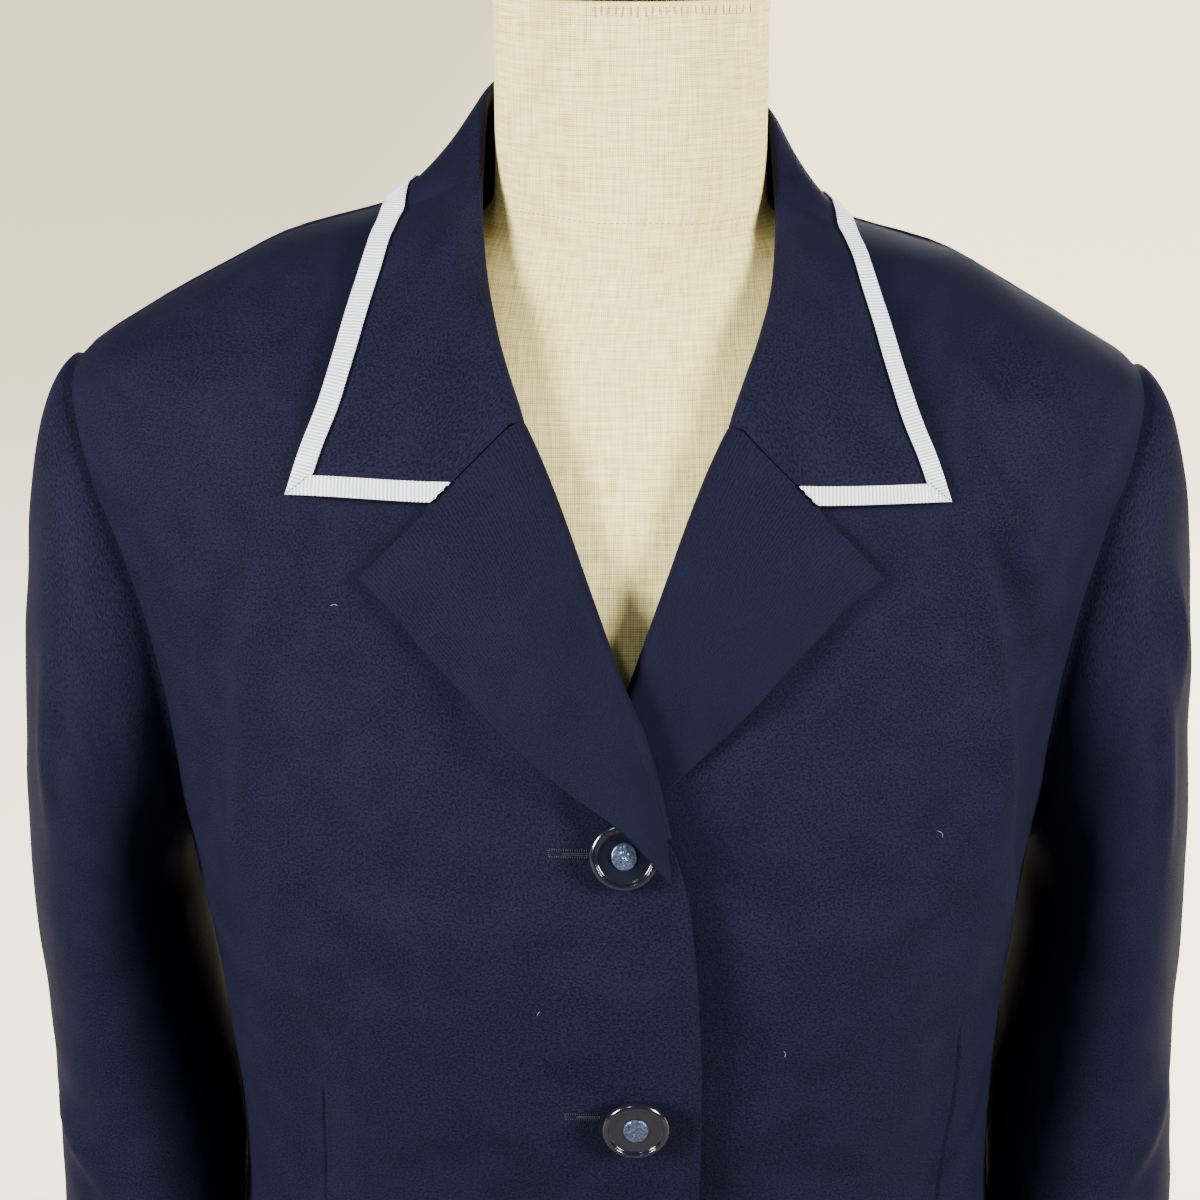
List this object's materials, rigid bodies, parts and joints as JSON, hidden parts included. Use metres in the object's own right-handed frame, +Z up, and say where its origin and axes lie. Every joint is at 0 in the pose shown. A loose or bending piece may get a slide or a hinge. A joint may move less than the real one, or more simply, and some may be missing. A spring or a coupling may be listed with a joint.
{
  "type": "blazer on dress form",
  "caption": "Navy blazer with notched lapels, a collar edged in white ribbon and glossy dark buttons, worn on a limbless linen dress form on a low round stand.",
  "frame": {"origin": "middle of the stand base's underside, on the surface that it stands on", "axes": "+Z up, the jacket's front faces -Y, the wearer's left is +X"},
  "size_m": [0.506, 0.3195, 0.9134],
  "materials": {
    "jacket_cloth": "matte fine crepe weave",
    "lapel_cloth": "matte fine upright twill",
    "ribbon": "ribbed, soft satin",
    "linen": "matte plain weave",
    "button_face": "polished",
    "button_inset": "pebbled, silvery",
    "neck_cap": "satin varnish",
    "pole": "polished",
    "base": "satin enamel"
  },
  "bodies": {
    "root": {"back_left": "jacket_cloth", "back_right": "jacket_cloth", "button_1": "button_face", "button_2": "button_face", "button_3": "button_face", "button_inset_1": "button_inset", "button_inset_2": "button_inset", "button_inset_3": "button_inset", "collar": "jacket_cloth", "collar_ribbon": "ribbon", "form_body": "linen", "front_left": "jacket_cloth", "front_right": "jacket_cloth", "lapel_left": "lapel_cloth", "lapel_right": "lapel_cloth", "neck_cap": "neck_cap", "sleeve_top_left": "jacket_cloth", "sleeve_top_right": "jacket_cloth", "sleeve_under_left": "jacket_cloth", "sleeve_under_right": "jacket_cloth", "stand_base": "base", "stand_pole": "pole"}
  },
  "joints": []
}
